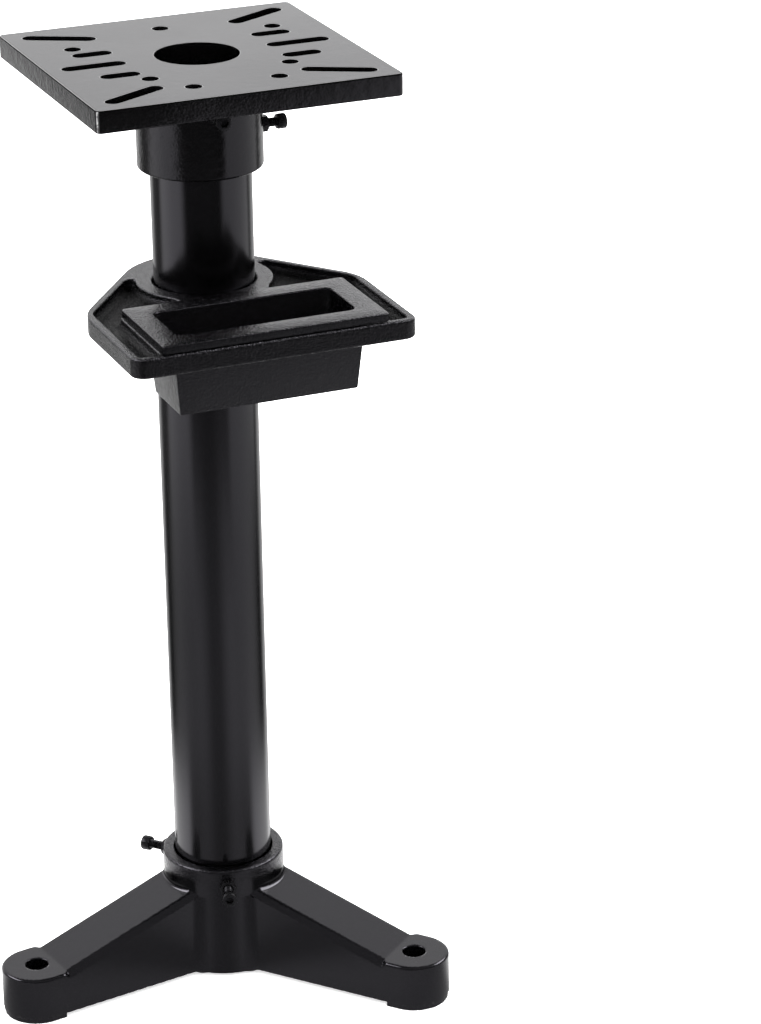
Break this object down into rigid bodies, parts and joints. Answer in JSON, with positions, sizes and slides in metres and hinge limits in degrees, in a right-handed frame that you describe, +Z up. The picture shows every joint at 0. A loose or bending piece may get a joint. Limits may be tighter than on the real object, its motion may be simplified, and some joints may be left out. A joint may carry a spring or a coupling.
{
  "type": "bench sander base",
  "caption": "Pedestal stand: three-legged cast base, steel tube, sliding tray with lift-out water pot, and a slotted top plate for a bench sander or grinder.",
  "frame": {"origin": "on the floor, in the middle of the box round the stand", "axes": "+Z up along the column, -Y to the front where the pot is, +X to the right seen from the front"},
  "size_m": [0.3708, 0.3864, 0.83],
  "materials": {
    "cast_paint": "black paint over a rough casting",
    "tube_paint": "smooth black gloss paint",
    "plate_paint": "black paint over a machined face",
    "black_oxide": "black oxide"
  },
  "bodies": {
    "base": {"base_casting": "cast_paint"},
    "column": {"column_tube": "tube_paint"},
    "plate": {"top_plate": "plate_paint"},
    "tray": {"tray_casting": "cast_paint"},
    "pot": {"water_pot": "cast_paint"},
    "base_front_clamp_nut": {"base_front_clamp_nut": "black_oxide"},
    "base_front_clamp_screw": {"base_front_clamp_screw": "black_oxide"},
    "base_left_clamp_nut": {"base_left_clamp_nut": "black_oxide"},
    "base_left_clamp_screw": {"base_left_clamp_screw": "black_oxide"},
    "plate_front_clamp_nut": {"plate_front_clamp_nut": "black_oxide"},
    "plate_front_clamp_screw": {"plate_front_clamp_screw": "black_oxide"},
    "plate_side_clamp_nut": {"plate_side_clamp_nut": "black_oxide"},
    "plate_side_clamp_screw": {"plate_side_clamp_screw": "black_oxide"},
    "tray_rear_clamp_nut": {"tray_rear_clamp_nut": "black_oxide"},
    "tray_rear_clamp_screw": {"tray_rear_clamp_screw": "black_oxide"}
  },
  "joints": [
    {"name": "column_turn", "type": "hinge", "parent": "base", "child": "column", "pos_m": [0.03287, -0.0162, 0], "axis": [0, 0, 1], "continuous": true},
    {"name": "tray_height", "type": "slide", "parent": "column", "child": "tray", "axis": [0, 0, 1], "range_m": [-0.45, 0.06]},
    {"name": "plate_turn", "type": "hinge", "parent": "column", "child": "plate", "pos_m": [0.03287, -0.0162, 0], "axis": [0, 0, 1], "continuous": true},
    {"name": "pot_lift", "type": "slide", "parent": "tray", "child": "pot", "axis": [0, 0, 1], "range_m": [0, 0.07]},
    {"name": "base_front_clamp_travel", "type": "slide", "parent": "base", "child": "base_front_clamp_nut", "axis": [-0.2874, -0.9578, 0], "range_m": [0, 0.004]},
    {"name": "base_front_clamp_turn", "type": "hinge", "parent": "base_front_clamp_nut", "child": "base_front_clamp_screw", "pos_m": [0.01563, -0.07367, 0.0905], "axis": [-0.2874, -0.9578, 0], "range_deg": [0, 1080]},
    {"name": "base_left_clamp_travel", "type": "slide", "parent": "base", "child": "base_left_clamp_nut", "axis": [-0.6794, 0.7337, 0], "range_m": [0, 0.004]},
    {"name": "base_left_clamp_turn", "type": "hinge", "parent": "base_left_clamp_nut", "child": "base_left_clamp_screw", "pos_m": [-0.00789, 0.02782, 0.0905], "axis": [-0.6794, 0.7337, 0], "range_deg": [0, 1080]},
    {"name": "plate_front_clamp_travel", "type": "slide", "parent": "plate", "child": "plate_front_clamp_nut", "axis": [-0.1045, -0.9945, 0], "range_m": [0, 0.004]},
    {"name": "plate_front_clamp_turn", "type": "hinge", "parent": "plate_front_clamp_nut", "child": "plate_front_clamp_screw", "pos_m": [0.0266, -0.07587, 0.794], "axis": [-0.1045, -0.9945, 0], "range_deg": [0, 1080]},
    {"name": "plate_side_clamp_travel", "type": "slide", "parent": "plate", "child": "plate_side_clamp_nut", "axis": [1, 0, 0], "range_m": [0, 0.004]},
    {"name": "plate_side_clamp_turn", "type": "hinge", "parent": "plate_side_clamp_nut", "child": "plate_side_clamp_screw", "pos_m": [0.09287, -0.0162, 0.764], "axis": [1, 0, 0], "range_deg": [0, 1080]},
    {"name": "tray_rear_clamp_travel", "type": "slide", "parent": "tray", "child": "tray_rear_clamp_nut", "axis": [0, 1, 0], "range_m": [0, 0.004]},
    {"name": "tray_rear_clamp_turn", "type": "hinge", "parent": "tray_rear_clamp_nut", "child": "tray_rear_clamp_screw", "pos_m": [0.03287, 0.0438, 0.6101], "axis": [0, 1, 0], "range_deg": [0, 1080]}
  ],
  "couplings": [
    {"joint": "base_front_clamp_travel", "follows": "base_front_clamp_turn", "m_per_rad": 0.00019894},
    {"joint": "base_left_clamp_travel", "follows": "base_left_clamp_turn", "m_per_rad": 0.00019894},
    {"joint": "plate_front_clamp_travel", "follows": "plate_front_clamp_turn", "m_per_rad": 0.00019894},
    {"joint": "plate_side_clamp_travel", "follows": "plate_side_clamp_turn", "m_per_rad": 0.00019894},
    {"joint": "tray_rear_clamp_travel", "follows": "tray_rear_clamp_turn", "m_per_rad": 0.00019894}
  ]
}
